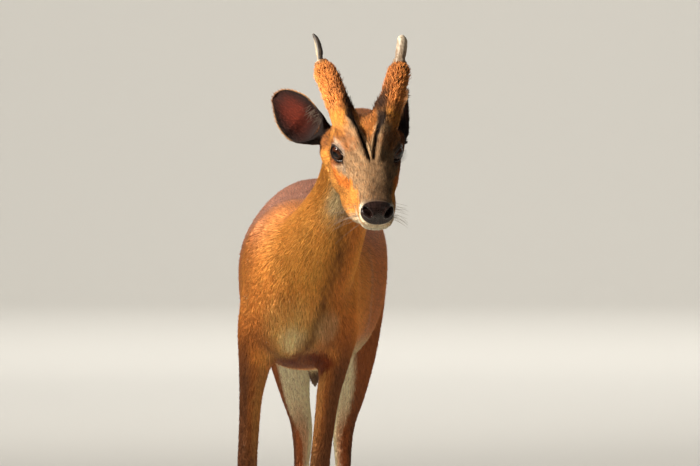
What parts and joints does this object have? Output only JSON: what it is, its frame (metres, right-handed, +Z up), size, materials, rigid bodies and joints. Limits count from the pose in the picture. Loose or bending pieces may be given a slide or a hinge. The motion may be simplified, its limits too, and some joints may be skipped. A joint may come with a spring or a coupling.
{
  "type": "muntjac",
  "caption": "Life-size still model of a standing male muntjac with furred pedicles, short spike antlers, cupped ears and cloven feet, its head turned to its left.",
  "frame": {"origin": "on the floor under the middle of the box round the whole animal", "axes": "+Z up, the trunk points to -Y, the animal's own left is +X"},
  "size_m": [0.252, 0.9254, 0.7396],
  "materials": {
    "coat": "short red-brown fur",
    "leg_coat": "short dark brown fur",
    "ear_coat": "thin short fur over skin",
    "eye": "wet gloss, dark brown",
    "antler": "smooth worn bone",
    "hoof": "dark horn, satin"
  },
  "bodies": {
    "root": {"antler_left": "antler", "antler_right": "antler", "dewclaw_front_left_left": "hoof", "dewclaw_front_left_right": "hoof", "dewclaw_front_right_left": "hoof", "dewclaw_front_right_right": "hoof", "dewclaw_hind_left_left": "hoof", "dewclaw_hind_left_right": "hoof", "dewclaw_hind_right_left": "hoof", "dewclaw_hind_right_right": "hoof", "ear_left": "ear_coat", "ear_right": "ear_coat", "eye_left": "eye", "eye_right": "eye", "foreleg_left_lower": "leg_coat", "foreleg_left_upper": "coat", "foreleg_right_lower": "leg_coat", "foreleg_right_upper": "coat", "head": "coat", "hindleg_left_lower": "leg_coat", "hindleg_left_upper": "coat", "hindleg_right_lower": "leg_coat", "hindleg_right_upper": "coat", "hoof_front_left_left": "hoof", "hoof_front_left_right": "hoof", "hoof_front_right_left": "hoof", "hoof_front_right_right": "hoof", "hoof_hind_left_left": "hoof", "hoof_hind_left_right": "hoof", "hoof_hind_right_left": "hoof", "hoof_hind_right_right": "hoof", "neck": "coat", "pedicle_left": "coat", "pedicle_right": "coat", "tail": "coat", "torso": "coat"}
  },
  "joints": []
}
